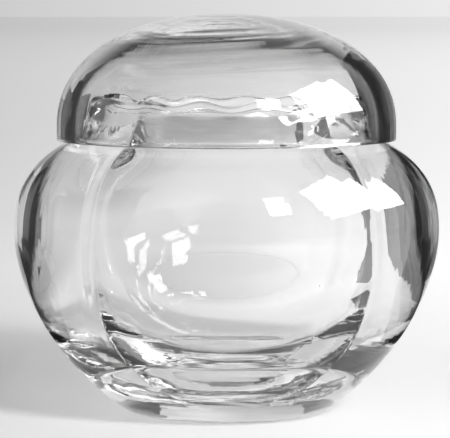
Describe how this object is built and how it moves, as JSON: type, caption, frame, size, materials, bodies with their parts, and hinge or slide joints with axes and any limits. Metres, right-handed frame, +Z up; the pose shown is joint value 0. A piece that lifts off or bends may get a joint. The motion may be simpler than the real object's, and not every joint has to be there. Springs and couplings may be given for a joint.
{
  "type": "candy jar",
  "caption": "Heavy clear crystal candy jar with a lobed bowl, a round neck and a loose domed lid.",
  "frame": {"origin": "centre of the foot, on the plane the jar stands on", "axes": "+Z up along the axis of the bowl and the lid; -Y towards the front, with one lobe facing it"},
  "size_m": [0.137, 0.137, 0.128],
  "materials": {
    "crystal": "polished"
  },
  "bodies": {
    "jar": {"jar_body": "crystal"},
    "lid": {"lid": "crystal"}
  },
  "joints": [
    {"name": "lid_lift", "type": "slide", "parent": "jar", "child": "lid", "axis": [0, 0, 1], "range_m": [0, 0.06]}
  ]
}
